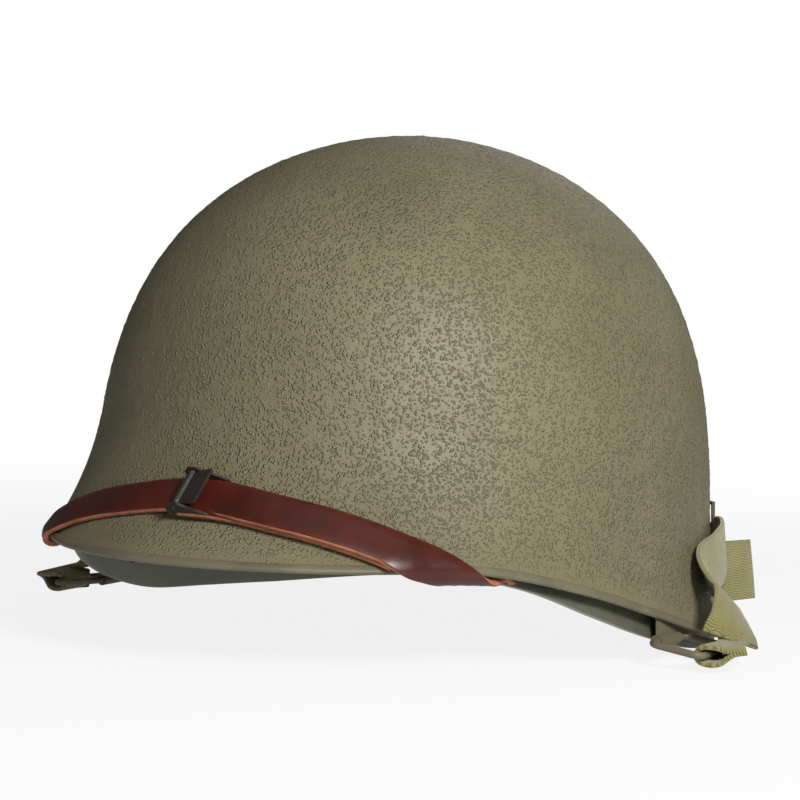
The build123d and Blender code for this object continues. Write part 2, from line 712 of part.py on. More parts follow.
leave_points = [bar_spot - out_way * (fold_inner + web_fold / 2)]
for side, ahead, up in web_leave_shares:
    leave_points.append(Vector(side * pot_side, ahead * pot_front, stand_height + up * brim_level))
leave_faces = [out_way] + [Vector(1, 0, 0)] * len(web_leave_shares)

# Junction behind the pot: the hook of one strap over the frame of the other
hook_level = hook_level_share * brim_level
hook_spot = pot.point(hook_bearing, hook_level, -web_clear)
hook_face = pot.facing(pot.point, hook_bearing, hook_level, -web_clear)
hook_along = Vector(0, 0, 1).cross(hook_face).normalized()
joint_plane = Plane(origin=hook_spot, x_dir=hook_along, z_dir=hook_face)
ladder_bar = ladder_ahead + ladder_length / 2 - frame_wire / 2
loop_inner = frame_wire * math.sqrt(0.5) + bar_clear
loop_outer = loop_inner + web_fold
loop_middle = (loop_inner + loop_outer) / 2


def joint_spot(along):
    return hook_spot + hook_along * along


def end_loop(along):
    """Loop of a strap's end round the bar of its metal fitting."""
    with BuildPart() as loop_end:
        with BuildSketch(Plane(origin=joint_spot(along), x_dir=hook_along,
                               z_dir=hook_along.cross(hook_face))):
            Circle(loop_outer)
            Circle(loop_inner, mode=Mode.SUBTRACT)
        extrude(amount=web_width / 2, both=True)
    return loop_end.part


near_points = list(leave_points)
near_faces = list(leave_faces)
for bearing, share in zip(web_bearings, web_level_shares):
    near_points.append(pot.point(bearing, share * brim_level, -web_clear))
    near_faces.append(pot.facing(pot.point, bearing, share * brim_level, -web_clear))
near_points += [joint_spot(-hook_back - loop_middle - straight_end), joint_spot(-hook_back - loop_middle)]
near_faces += [hook_face, hook_face]
tail_points = [Vector(side * pot_side, ahead * pot_front, stand_height + up * brim_level)
               for side, ahead, up in tail_shares]
tail_faces = [Vector(*tail_face).normalized()] * len(tail_points)
with BuildPart() as web_strap_left:
    loft(sections=ribbon(near_points, near_faces, web_width, [web_fold] * len(near_points)), ruled=True)
    add(fold_left.part)
    add(end_loop(-hook_back))
    loft(sections=ribbon(tail_points, tail_faces, web_width, [tail_thick] * len(tail_points)), ruled=True)
save(web_strap_left.part, "web_strap_left")

far_points = [mirrored(spot) for spot in leave_points]
far_faces = [mirrored(face) for face in leave_faces]
for bearing, share in zip(back_bearings, back_level_shares):
    far_points.append(pot.point(bearing, share * brim_level, -web_clear))
    far_faces.append(pot.facing(pot.point, bearing, share * brim_level, -web_clear))
far_points += [joint_spot(ladder_bar + loop_middle + straight_end), joint_spot(ladder_bar + loop_middle)]
far_faces += [hook_face, hook_face]
with BuildPart() as web_strap_right:
    loft(sections=ribbon(far_points, far_faces, web_width, [web_fold] * len(far_points)), ruled=True)
    add(mirror(fold_left.part, about=Plane.YZ))
    add(end_loop(ladder_bar))
save(web_strap_right.part, "web_strap_right")

with BuildPart() as web_buckle:
    with BuildSketch(joint_plane.offset(-frame_wire / 2)):
        with Locations((ladder_ahead, 0)):
            Rectangle(ladder_length, frame_width)
            Rectangle(ladder_length - 2 * frame_wire, frame_width - 2 * frame_wire, mode=Mode.SUBTRACT)
    extrude(amount=frame_wire)
save(web_buckle.part, "web_buckle")

# Hook: its bar lies in the near strap's end and its tongue lies over the frame's near bar
hook_end = -hook_back - frame_wire / 2 + hook_length + frame_wire
tongue_lift = frame_wire + soft_gap
with BuildPart() as web_hook:
    with BuildSketch(joint_plane.offset(-frame_wire / 2)):
        with Locations((hook_end, 0)):
            Rectangle(hook_length + frame_wire, frame_width, align=(Align.MAX, Align.CENTER))
            with Locations((-frame_wire, 0)):
                Rectangle(hook_length - frame_wire, frame_width - 2 * frame_wire,
                          align=(Align.MAX, Align.CENTER), mode=Mode.SUBTRACT)
    extrude(amount=frame_wire)
    with BuildSketch(joint_plane.offset(frame_wire / 2)):
        with Locations((hook_end, 0)):
            Rectangle(frame_wire, hook_tongue_width, align=(Align.MAX, Align.CENTER))
    extrude(amount=tongue_lift)
    with BuildSketch(joint_plane.offset(tongue_lift - frame_wire / 2)):
        with Locations((hook_end, 0)):
            Rectangle(hook_tongue, hook_tongue_width, align=(Align.MIN, Align.CENTER))
    extrude(amount=frame_wire)
    with Locations(Location(joint_plane.offset(tongue_lift)) * Location((hook_end + hook_tongue, 0, 0))):
        Sphere(ball_radius)
save(web_hook.part, "web_hook")

# Metal tip on the doubled end of the near strap
tail_way = (tail_points[-1] - tail_points[-2]).normalized()
tip_plane = Plane(origin=tail_points[-1] - tail_way * tip_length / 2, z_dir=tail_way,
                  x_dir=tail_way.cross(tail_faces[-1]).normalized())
with BuildPart() as web_tip:
    with BuildSketch(tip_plane):
        Rectangle(web_width + 2 * (soft_gap + tip_wall), tail_thick + 2 * (soft_gap + tip_wall))
        Rectangle(web_width + 2 * soft_gap, tail_thick + 2 * soft_gap, mode=Mode.SUBTRACT)
    extrude(amount=tip_length / 2, both=True)
save(web_tip.part, "web_tip")

# Sweatband buckle: a wire frame on the back of the hoop
frame_level = sweat_low + sweat_width / 2
frame_bow = sweat_buckle_width**2 / (8 * head.half_axis(1, frame_level, sweat_inset))
frame_inset = sweat_inset - soft_gap - frame_bow - sweat_buckle_wire / 2
frame_plane = Plane(origin=head.polar(180, frame_level, frame_inset), x_dir=(-1, 0, 0),
                    z_dir=head.facing(head.polar, 180, frame_level, frame_inset))
with BuildPart() as sweatband_buckle:
    with BuildSketch(frame_plane.offset(-sweat_buckle_wire / 2)):
        Rectangle(sweat_buckle_width, sweat_buckle_height)
        for across in (-sweat_buckle_width / 4, sweat_buckle_width / 4):
            with Locations((across, 0)):
                Rectangle(sweat_buckle_width / 2 - 1.5 * sweat_buckle_wire,
                          sweat_buckle_height - 2 * sweat_buckle_wire, mode=Mode.SUBTRACT)
    extrude(amount=sweat_buckle_wire)
save(sweatband_buckle.part, "sweatband_buckle")
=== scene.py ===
import math

import bmesh
import bpy
from mathutils import Matrix, Vector, noise


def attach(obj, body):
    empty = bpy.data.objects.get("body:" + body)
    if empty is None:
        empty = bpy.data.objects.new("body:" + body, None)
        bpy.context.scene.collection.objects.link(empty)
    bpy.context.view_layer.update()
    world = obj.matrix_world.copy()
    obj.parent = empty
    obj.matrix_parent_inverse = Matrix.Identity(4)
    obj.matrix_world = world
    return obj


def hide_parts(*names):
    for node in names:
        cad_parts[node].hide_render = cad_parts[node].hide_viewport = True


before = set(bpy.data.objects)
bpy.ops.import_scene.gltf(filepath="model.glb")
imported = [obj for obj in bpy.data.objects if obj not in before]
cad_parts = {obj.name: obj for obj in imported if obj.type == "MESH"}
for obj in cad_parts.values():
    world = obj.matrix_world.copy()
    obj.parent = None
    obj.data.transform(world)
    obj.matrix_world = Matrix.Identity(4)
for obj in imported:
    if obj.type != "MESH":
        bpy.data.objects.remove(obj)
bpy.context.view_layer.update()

# The mesh code works in millimetres, and each finished piece is scaled to metres
MM = 0.001

# Shells: heights are above the pot's lowest rim, which is this high above the ground.
# Rows of three hold values for the front, the sides and the rear.
RIM_OVER_GROUND = 6.5
BRIM_LEVEL = 27.6
RIM_LEVELS = (BRIM_LEVEL, 3.0, 5.0)
POT_FRONT = 130.0
POT_SIDE = 111.5
POT_WALL = 1.1
LINER_WALL = 2.4
CROWN_POWER = 3.49
ROUND_POWER = 1.91
POT_CROWN = 175.0
LINER_CROWN = 172.3
LINER_REACHES = (127.3, 108.8, 112.8)
LINER_RISES = (40.0, 28.0, 28.0)
# Rim heights as shares of the brim's level, by the place from rear to front as a share of the front's reach
POT_RIM = ((-2.0, 1.03), (-1.5, 1.03), (-1.14, 1.03), (-0.85, 1.0), (-0.58, 0.73), (-0.31, 0.38),
           (-0.04, 0.06), (0.24, 0.0), (0.5, 0.01), (0.77, 0.13), (1.0, 0.31), (1.2, 0.48))
LINER_RIM = ((-2.0, 1.0), (-1.5, 1.0), (-1.14, 1.0), (-0.97, 0.98), (-0.82, 0.9), (-0.69, 0.75),
             (-0.51, 0.42), (-0.31, 0.12), (-0.04, -0.16), (0.24, -0.232), (0.5, -0.23),
             (0.77, -0.11), (1.0, 0.08), (1.2, 0.22))

UP = Vector((0, 0, 1))


def on_line(points, place):
    """Value at one place of the smooth line through a row of (place, value) points."""
    last = len(points) - 1
    first = min(sum(place >= spot for spot, _ in points[1:-1]), last - 1)

    def lean(index):
        before, after = points[max(index - 1, 0)], points[min(index + 1, last)]
        return (after[1] - before[1]) / (after[0] - before[0])

    span = points[first + 1][0] - points[first][0]
    share = min(max((place - points[first][0]) / span, 0.0), 1.0)
    rest = 1 - share
    return (points[first][1] * rest * rest * (1 + 2 * share)
            + points[first + 1][1] * share * share * (1 + 2 * rest)
            + span * share * rest * (lean(first) * rest - lean(first + 1) * share))


def through(rows, share):
    """Vector at one share of the smooth line through a row of vectors."""
    last = len(rows) - 1
    first = min(int(share * last), last - 1)
    part = share * last - first
    rest = 1 - part
    before, here, there, after = (rows[min(max(first + step, 0), last)] for step in (-1, 0, 1, 2))
    return (here * (rest * rest * (1 + 2 * part)) + there * (part * part * (1 + 2 * rest))
            + (there - before) * (part * rest * rest / 2) - (after - here) * (part * part * rest / 2))


class Wall:
    """Oval dome of a shell, whose lower wall flares out to its rim. Insets are inward from the outer face."""

    def __init__(self, crown, reaches, flares, rises, rim):
        self.crown = crown
        self.reaches = reaches
        self.flares = flares
        self.rises = rises
        self.rim = rim

    def half_axis(self, side, height, inset):
        """Reach of the oval at one height: side 0 is the front, 1 the sides and 2 the rear."""
        climb = min(max(height / (self.crown - inset), 0.0), 1.0)
        dome = (self.reaches[side] - inset) * (1 - climb**CROWN_POWER) ** (1 / ROUND_POWER)
        turn = max(1 - (height - RIM_LEVELS[side]) / self.rises[side], 0.0)
        lean = 2 * self.flares[side] * turn / self.rises[side]
        return dome + self.flares[side] * turn**2 - inset * (math.hypot(1, lean) - 1)

    def half_axes(self, turn, height, inset):
        """Half the length and half the width of the oval's quarter that holds a turn."""
        return self.half_axis(0 if math.cos(turn) > 0 else 2, height, inset), self.half_axis(1, height, inset)

    def spot(self, bearing, height, inset):
        """Point on the wall; the bearing runs from the front towards the left side."""
        turn = math.radians(bearing)
        front, side = self.half_axes(turn, height, inset)
        return Vector((side * math.sin(turn), -front * math.cos(turn), RIM_OVER_GROUND + height))

    def compass(self, bearing, height, inset):
        """Point on the wall in one true compass direction."""
        turn = math.radians(bearing)
        front, side = self.half_axes(turn, height, inset)
        reach = 1 / math.hypot(math.sin(turn) / side, math.cos(turn) / front)
        return Vector((reach * math.sin(turn), -reach * math.cos(turn), RIM_OVER_GROUND + height))

    def face(self, bearing, height, inset, place=None):
        """Outward normal of the wall."""
        place = place or self.spot
        step = 0.1
        up = place(bearing, height + step, inset) - place(bearing, height - step, inset)
        round_way = place(bearing + step, height, inset) - place(bearing - step, height, inset)
        return round_way.cross(up).normalized()

    def rim_height(self, bearing, inset=0.0):
        """Height of the rim, which settles in a few rounds because the wall's reach depends on it."""
        height = 10.0
        for _ in range(14):
            ahead = self.spot(bearing, height, inset).y / POT_FRONT
            height = on_line(self.rim, ahead) * BRIM_LEVEL
        return height


pot = Wall(POT_CROWN, (POT_FRONT, POT_SIDE, 115.5), (34.0, 9.5, 8.0), (44.5, 28.0, 28.0), POT_RIM)
liner = Wall(LINER_CROWN, LINER_REACHES, (20.7, 3.6, 2.2), LINER_RISES, LINER_RIM)
# The liner's dome without its flare, which the sweatband follows
head = Wall(LINER_CROWN, LINER_REACHES, (0.0, 0.0, 0.0), LINER_RISES, LINER_RIM)


class Signal:
    """A value in a finish's nodes, on which plain arithmetic works."""

    def __init__(self, finish, socket):
        self.finish = finish
        self.socket = socket

    def worked(self, operation, *others):
        """This value put through one of Blender's Math operations."""
        return self.finish.node("ShaderNodeMath", {"operation": operation}, dict(enumerate((self, *others))))

    def __add__(self, other):
        return self.worked("ADD", other)

    def __sub__(self, other):
        return self.worked("SUBTRACT", other)

    def __mul__(self, other):
        return self.worked("MULTIPLY", other)

    def __gt__(self, other):
        return self.worked("GREATER_THAN", other)

    def __rsub__(self, other):
        return self.finish.node("ShaderNodeMath", {"operation": "SUBTRACT"}, {0: other, 1: self})

    __radd__ = __add__

    def sine(self):
        return self.worked("SINE")

    def size(self):
        return self.worked("ABSOLUTE")

    def ramp(self, low, high, start=0.0, end=1.0):
        """Smooth step from start to end as the value goes from low to high."""
        return self.finish.node("ShaderNodeMapRange", {"interpolation_type": "SMOOTHSTEP"},
                                {0: self, 1: low, 2: high, 3: start, 4: end})


def colour(red, green, blue):
    """Linear colour from the 0 to 255 numbers of a screen colour."""
    return tuple(((part / 255 + 0.055) / 1.055) ** 2.4 if part > 10 else part / 255 / 12.92
                 for part in (red, green, blue)) + (1.0,)


# How far the cells of a pattern leave their even places, as a share
SCATTER = 0.8


class Finish:
    """One surface finish: a material, its shader and the nodes of its pattern."""

    def __init__(self, name, **constants):
        self.material = bpy.data.materials.new(name)
        self.material.use_nodes = True
        self.tree = self.material.node_tree
        self.shader = self.tree.nodes["Principled BSDF"]
        for socket, value in constants.items():
            self.shader.inputs[socket.replace("_", " ")].default_value = value

    def node(self, kind, settings=None, inputs=None, output=0):
        """A new node with its settings and inputs, where a Signal is linked and any other value set."""
        made = self.tree.nodes.new(kind)
        for setting, value in (settings or {}).items():
            setattr(made, setting, value)
        for socket, value in (inputs or {}).items():
            if isinstance(value, Signal):
                self.tree.links.new(value.socket, made.inputs[socket])
            else:
                made.inputs[socket].default_value = value
        return Signal(self, made.outputs[output])

    def place(self):
        """Place on the piece, in metres."""
        return self.node("ShaderNodeTexCoord", output="Object")

    def along(self):
        """Place along and across a strap, in millimetres."""
        lay = self.node("ShaderNodeUVMap", {"uv_map": "strap"})
        split = self.node("ShaderNodeSeparateXYZ", inputs={0: lay})
        return split, Signal(self, split.socket.node.outputs[1])

    def turn_and_height(self, place):
        """Way round the helmet in radians, and height in metres."""
        split = self.node("ShaderNodeSeparateXYZ", inputs={0: place})
        ahead, high = (Signal(self, split.socket.node.outputs[index]) for index in (1, 2))
        return split.worked("ARCTAN2", ahead), high

    def cloud(self, place, scale, detail=2.0, roughness=0.5):
        """Soft random pattern from 0 to 1."""
        return self.node("ShaderNodeTexNoise", inputs={"Vector": place, "Scale": scale, "Detail": detail,
                                                       "Roughness": roughness})

    def cells(self, place, scale):
        """Distance from the nearest of scattered points, and that point's own random number."""
        distance = self.node("ShaderNodeTexVoronoi",
                             inputs={"Vector": place, "Scale": scale, "Randomness": SCATTER})
        own = self.node("ShaderNodeSeparateColor",
                        inputs={0: Signal(self, distance.socket.node.outputs["Color"])})
        return distance, own

    def mixed(self, share, first, second):
        """Colour between two colours."""
        return self.node("ShaderNodeMix", {"data_type": "RGBA"}, {0: share, 6: first, 7: second}, output=2)

    def relief(self, height, depth):
        """Surface normal from a height map whose value 1 stands depth metres proud."""
        return self.node("ShaderNodeBump", inputs={"Height": height, "Distance": depth, "Strength": 1.0})

    def feed(self, **signals):
        """Links signals to the shader's sockets of the same names."""
        for socket, signal in signals.items():
            self.tree.links.new(signal.socket, self.shader.inputs[socket.replace("_", " ")])


# Layers of cork grains: cells per metre, share of cells left out, height and reach of a grain
GRAIN_LAYERS = ((560.0, 0.05, 1.0, 0.37), (760.0, 0.05, 0.8, 0.37), (1000.0, 0.1, 0.65, 0.38))
GRAIN_TOP = 0.08
GRAIN_DEPTH = 0.00075


def cork_paint():
    """Olive paint over scattered cork grains, lower at the rim and in patches, with a painted highlight on
    the grain tops.
    """
    finish = Finish("olive_cork_paint", Specular_IOR_Level=0.35)
    place = finish.place()
    clear = finish.node("ShaderNodeAttribute", {"attribute_name": "above_rim"}, output="Fac")
    clear = clear.ramp(1.0, 8.0, 0.3, 1.0)
    patches = finish.cloud(place, 130.0, 2.0).ramp(0.3, 0.4, 0.25, 1.0)
    grains = None
    for scale, left_out, tall, reach in GRAIN_LAYERS:
        near, own = finish.cells(place, scale)
        grain = near.ramp(reach, GRAIN_TOP, 0.0, tall) * (own > left_out) * clear * patches
        grains = grain if grains is None else grains.worked("MAXIMUM", grain)
    fine = finish.cloud(place, 2600.0, 2.0)
    tone = finish.cloud(place, 22.0, 3.0)
    paint = finish.mixed(tone.ramp(0.35, 0.65), colour(110, 105, 79), colour(118, 112, 86))
    # The grain tops are painted lighter: a painted highlight that stands in for their lit sides.
    paint = finish.mixed(grains.ramp(0.35, 0.9, 0.0, 0.5), paint, colour(152, 146, 118))
    finish.feed(Base_Color=paint, Roughness=0.46 + fine * 0.12 + grains * 0.1,
                Normal=finish.relief(grains + fine * 0.05, GRAIN_DEPTH))
    return finish


def rim_paint():
    """The same olive paint without grains, a little rubbed."""
    finish = Finish("olive_rim_paint", Specular_IOR_Level=0.4)
    place = finish.place()
    fine = finish.cloud(place, 900.0, 3.0)
    tone = finish.cloud(place, 60.0, 3.0)
    paint = finish.mixed(tone.ramp(0.35, 0.65), colour(98, 93, 72), colour(110, 104, 82))
    rubbed = tone.ramp(0.62, 0.7) * fine.ramp(0.5, 0.6)
    paint = finish.mixed(rubbed * 0.5, paint, colour(78, 72, 56))
    finish.feed(Base_Color=paint, Roughness=0.42 + fine * 0.16, Normal=finish.relief(fine, 0.00008))
    return finish


def liner_paint(name, dark, light):
    """Satin green over moulded fibre, whose cloth shows faintly."""
    finish = Finish(name, Specular_IOR_Level=0.5)
    place = finish.place()
    tone = finish.cloud(place, 30.0, 4.0)
    fibre = finish.cloud(place, 1400.0, 4.0, 0.65)
    swirl = finish.cloud(place, 230.0, 3.0)
    paint = finish.mixed(tone.ramp(0.3, 0.7), dark, light)
    paint = finish.mixed(fibre.ramp(0.55, 0.75) * 0.3, paint, dark)
    finish.feed(Base_Color=paint, Roughness=0.34 + swirl * 0.2,
                Normal=finish.relief(swirl * 0.5 + fibre * 0.5, 0.00018))
    return finish


# Threads per millimetre of the straps' herringbone: turns of the chevron, ribs along and yarns across
CHEVRON_PITCH = 0.42
RIB_PITCH = 2.0
YARN_PITCH = 3.3


def webbing(name, light, dark):
    """Cotton webbing in herringbone twill, laid along the strap's own map."""
    finish = Finish(name, Roughness=0.92, Specular_IOR_Level=0.2, Sheen_Weight=0.35, Sheen_Roughness=0.5)
    along, across = finish.along()
    chevron = (across * CHEVRON_PITCH).worked("PINGPONG", 1.0)
    rib = ((along * RIB_PITCH + chevron * 1.3) * math.pi).sine() * 0.5 + 0.5
    yarn = (across * YARN_PITCH * math.pi).sine() * 0.5 + 0.5
    fuzz = finish.cloud(finish.place(), 2200.0, 3.0, 0.7)
    worn = finish.cloud(finish.place(), 90.0, 3.0)
    thread = rib * 0.62 + yarn * 0.38
    cloth = finish.mixed(thread.ramp(0.15, 0.8), dark, light)
    cloth = finish.mixed(worn.ramp(0.45, 0.75) * 0.3, cloth, colour(150, 143, 100))
    cloth = finish.mixed(fuzz.ramp(0.5, 0.72) * 0.35, cloth, colour(170, 164, 122))
    finish.feed(Base_Color=cloth, Normal=finish.relief(thread * 0.8 + fuzz * 0.4, 0.0003))
    return finish


def band_webbing():
    """Khaki herringbone web of the pieces inside, laid by height and by the way round."""
    finish = Finish("khaki_band_web", Roughness=0.93, Specular_IOR_Level=0.2, Sheen_Weight=0.3,
                    Sheen_Roughness=0.5)
    place = finish.place()
    turn, high = finish.turn_and_height(place)
    chevron = (high * 260.0).worked("PINGPONG", 1.0)
    rib = ((turn * 66.0 + chevron * 3.0) * math.pi).sine() * 0.5 + 0.5
    fuzz = finish.cloud(place, 2000.0, 3.0, 0.7)
    cloth = finish.mixed(rib.ramp(0.15, 0.85), colour(104, 98, 66), colour(143, 136, 98))
    cloth = finish.mixed(fuzz.ramp(0.48, 0.72) * 0.4, cloth, colour(168, 160, 122))
    finish.feed(Base_Color=cloth, Normal=finish.relief(rib * 0.7 + fuzz * 0.5, 0.00028))
    return finish


def chin_leather():
    """Waxed red-brown leather, grain side."""
    finish = Finish("chin_strap_leather", Specular_IOR_Level=0.42, Coat_Roughness=0.3)
    _, across = finish.along()
    place = finish.place()
    tone = finish.cloud(place, 70.0, 4.0)
    pores = finish.cloud(place, 2600.0, 2.0)
    creases = finish.cloud(place, 500.0, 4.0, 0.6)
    hide = finish.mixed(tone.ramp(0.3, 0.72), colour(60, 20, 12), colour(78, 28, 18))
    rubbed = across.size().ramp(4.9, 6.5) * creases.ramp(0.35, 0.7)
    hide = finish.mixed(rubbed * 0.55, hide, colour(112, 54, 36))
    finish.feed(Base_Color=hide, Roughness=0.27 + creases * 0.22, Coat_Weight=0.14 - rubbed * 0.1,
                Normal=finish.relief(pores * 0.5 + creases * 0.6, 0.00007))
    return finish


def flesh_leather():
    """Cut edge and flesh side of the leather, pale and fibrous."""
    finish = Finish("leather_flesh_side", Roughness=0.85, Specular_IOR_Level=0.25)
    place = finish.place()
    fibre = finish.cloud(place, 1800.0, 4.0, 0.7)
    tone = finish.cloud(place, 160.0, 3.0)
    hide = finish.mixed(tone.ramp(0.3, 0.7), colour(164, 100, 76), colour(192, 128, 98))
    hide = finish.mixed(fibre.ramp(0.5, 0.75) * 0.5, hide, colour(134, 72, 48))
    finish.feed(Base_Color=hide, Normal=finish.relief(fibre, 0.0003))
    return finish


def sweat_leather():
    """Russet sweatband leather with a fine grain."""
    finish = Finish("sweatband_leather", Specular_IOR_Level=0.4)
    place = finish.place()
    grain, _ = finish.cells(place, 1100.0)
    tone = finish.cloud(place, 40.0, 4.0)
    hide = finish.mixed(tone.ramp(0.3, 0.7), colour(118, 74, 46), colour(140, 92, 60))
    hide = finish.mixed(grain.ramp(0.3, 0.6) * 0.35, hide, colour(96, 58, 36))
    finish.feed(Base_Color=hide, Roughness=0.48 + tone * 0.2,
                Normal=finish.relief(grain.ramp(0.55, 0.1), 0.00012))
    return finish


def bare_metal(name, dark, bright, metallic, roughness, wear=0.5):
    """Metal whose finish is rubbed bright in places."""
    finish = Finish(name, Metallic=metallic)
    place = finish.place()
    scratches = finish.cloud(place, 700.0, 5.0, 0.7)
    tone = finish.cloud(place, 180.0, 3.0)
    edge = finish.node("ShaderNodeNewGeometry", output="Pointiness").ramp(0.52, 0.58)
    rubbed = (scratches.ramp(0.56, 0.7) * wear + edge * 0.6).worked("MINIMUM", 1.0)
    metal = finish.mixed(rubbed, dark, bright)
    metal = finish.mixed(tone.ramp(0.5, 0.8) * 0.25, metal, bright)
    finish.feed(Base_Color=metal, Roughness=roughness + scratches * 0.2 - rubbed * 0.08,
                Normal=finish.relief(scratches, 0.00004))
    return finish


def lace_cord():
    """Braided olive cord."""
    finish = Finish("braided_lace", Roughness=0.88, Specular_IOR_Level=0.2, Sheen_Weight=0.2)
    place = finish.place()
    turn, high = finish.turn_and_height(place)
    strands, climb = turn * 34.0, high * 900.0
    plait = ((strands + climb) * math.pi).sine() * ((strands - climb) * math.pi).sine()
    fuzz = finish.cloud(place, 2400.0, 3.0)
    cloth = finish.mixed(plait.ramp(-0.5, 0.7), colour(84, 80, 54), colour(128, 122, 88))
    finish.feed(Base_Color=cloth, Normal=finish.relief(plait * 0.5 + fuzz * 0.4, 0.0003))
    return finish


POT_PAINT = cork_paint()
RIM_PAINT = rim_paint()
# The liner's inside has the same green paint as its outside; the inside copy is painted much lighter, as
# painted light from below.
LINER_PAINT = liner_paint("liner_green_fibre", colour(76, 77, 64), colour(92, 93, 78))
LINER_INSIDE_PAINTED_LIGHT = liner_paint("liner_inside_painted_light", colour(134, 134, 122), colour(150, 150, 138))
CHIN_WEB = webbing("olive_chin_web", colour(148, 142, 90), colour(104, 98, 54))
BAND_WEB = band_webbing()
CROWN_WEB = webbing("khaki_crown_web", colour(146, 139, 101), colour(102, 96, 64))
LEATHER = chin_leather()
FLESH = flesh_leather()
SWEAT = sweat_leather()
GUNMETAL = bare_metal("blackened_buckle_steel", colour(17, 15, 14), colour(120, 112, 104), 0.85, 0.28)
FITTINGS = bare_metal("olive_painted_fittings", colour(84, 80, 58), colour(112, 106, 80), 0.0, 0.45, 0.4)
BALE_PAINT = bare_metal("olive_painted_wire", colour(104, 98, 78), colour(126, 119, 96), 0.0, 0.4, 0.3)
PLAIN_WIRE = bare_metal("dark_bronzed_wire", colour(40, 36, 30), colour(128, 116, 92), 0.85, 0.32)
LACE = lace_cord()


def finished(shape, name, body, finishes, nodes):
    """Turns a mesh in millimetres into a piece that rides on a body and takes the place of CAD nodes."""
    bmesh.ops.scale(shape, vec=(MM, MM, MM), verts=shape.verts)
    mesh = bpy.data.meshes.new(name)
    shape.to_mesh(mesh)
    shape.free()
    mesh.shade_smooth()
    piece = bpy.data.objects.new(name, mesh)
    bpy.context.scene.collection.objects.link(piece)
    for finish in finishes:
        mesh.materials.append(finish.material)
    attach(piece, body)
    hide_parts(*nodes)
    return piece


def climb_shares(wall):
    """Heights up a wall, in shares of its crown, each beside its share of the way along the profile."""
    steps = 400
    rows = [math.sin(math.radians(90 * step / steps)) ** 0.6 for step in range(steps + 1)]
    spots = [Vector((wall.half_axis(1, share * wall.crown, 0), share * wall.crown)) for share in rows]
    lengths = [0.0]
    for low, high in zip(spots, spots[1:]):
        lengths.append(lengths[-1] + (high - low).length)
    return [(length / lengths[-1], share) for length, share in zip(lengths, rows)]


def at_share(table, share):
    """Height share at one share of the way along the profile."""
    low, high = 0, len(table) - 1
    while high - low > 1:
        middle = (low + high) // 2
        low, high = (middle, high) if table[middle][0] <= share else (low, middle)
    span = table[high][0] - table[low][0]
    return table[low][1] + (table[high][1] - table[low][1]) * (share - table[low][0]) / span


def dome(shape, wall, inset, cells):
    """Half a ball of even squares, drawn over a wall down to its rim.
    Returns the new corners and the edges of the rim."""
    table = climb_shares(wall)
    above = shape.verts.layers.float.get("above_rim") or shape.verts.layers.float.new("above_rim")
    block = bmesh.ops.create_cube(shape, size=2.0)["verts"]
    edges = {edge for vert in block for edge in vert.link_edges}
    bmesh.ops.subdivide_edges(shape, edges=list(edges), cuts=cells - 1, use_grid_fill=True)
    fresh = [vert for vert in shape.verts if not vert.tag]
    lower = [vert for vert in fresh if vert.co.z < -1e-4]
    bmesh.ops.delete(shape, geom=lower, context="VERTS")
    fresh = [vert for vert in shape.verts if not vert.tag]
    rims = {}
    for vert in fresh:
        ball = Vector(math.tan(part * math.pi / 4) for part in vert.co).normalized()
        bearing = math.degrees(math.atan2(ball.x, -ball.y))
        key = round(bearing, 3)
        if key not in rims:
            rims[key] = wall.rim_height(bearing, inset)
        share = at_share(table, math.degrees(math.asin(min(ball.z, 1.0))) / 90)
        height = rims[key] + (wall.crown - inset - rims[key]) * share
        vert.co = wall.spot(bearing, min(height, wall.crown - inset), inset)
        vert[above] = height - rims[key]
        vert.tag = True
    return fresh, [edge for vert in fresh for edge in vert.link_edges if edge.is_boundary]


SHELL_MIDDLE = Vector((0, 0, 60))
POT_CELLS = 150
POT_INNER_CELLS = 50
LINER_CELLS = 80
LINER_EDGE = 0.7
# Coarse unevenness of the pot: its depth, the height over the rim where it starts, and the rise to full depth
UNEVEN_DEPTH = 0.34
UNEVEN_START = 25
UNEVEN_RISE = 12


def faced_inward(inner):
    """Turns the faces of a shell's inner side towards the middle of the shell."""
    for face in {face for vert in inner for face in vert.link_faces}:
        if face.normal.dot(face.calc_center_median() - SHELL_MIDDLE) > 0:
            face.normal_flip()


def steel_pot():
    """The pot: a fine outer face, slightly uneven well above the rim, and a plain inner face."""
    shape = bmesh.new()
    outer, outer_rim = dome(shape, pot, 0.0, POT_CELLS)
    bmesh.ops.recalc_face_normals(shape, faces=shape.faces)
    shape.normal_update()
    above = shape.verts.layers.float["above_rim"]
    lifts = {}
    for vert in outer:
        rough = noise.noise(vert.co * 0.42) + 0.6 * noise.noise(vert.co * 0.95)
        full = min(max(vert[above] - UNEVEN_START, 0) / UNEVEN_RISE, 1.0)
        lifts[vert] = max(rough, -0.1) * UNEVEN_DEPTH * full
    for vert, lift in lifts.items():
        vert.co += vert.normal * lift
    inner, inner_rim = dome(shape, pot, POT_WALL, POT_INNER_CELLS)
    shape.normal_update()
    faced_inward(inner)
    bmesh.ops.bridge_loops(shape, edges=list(set(outer_rim) | set(inner_rim)))
    finished(shape, "pot_shell", "pot", [POT_PAINT], ["steel_shell"])


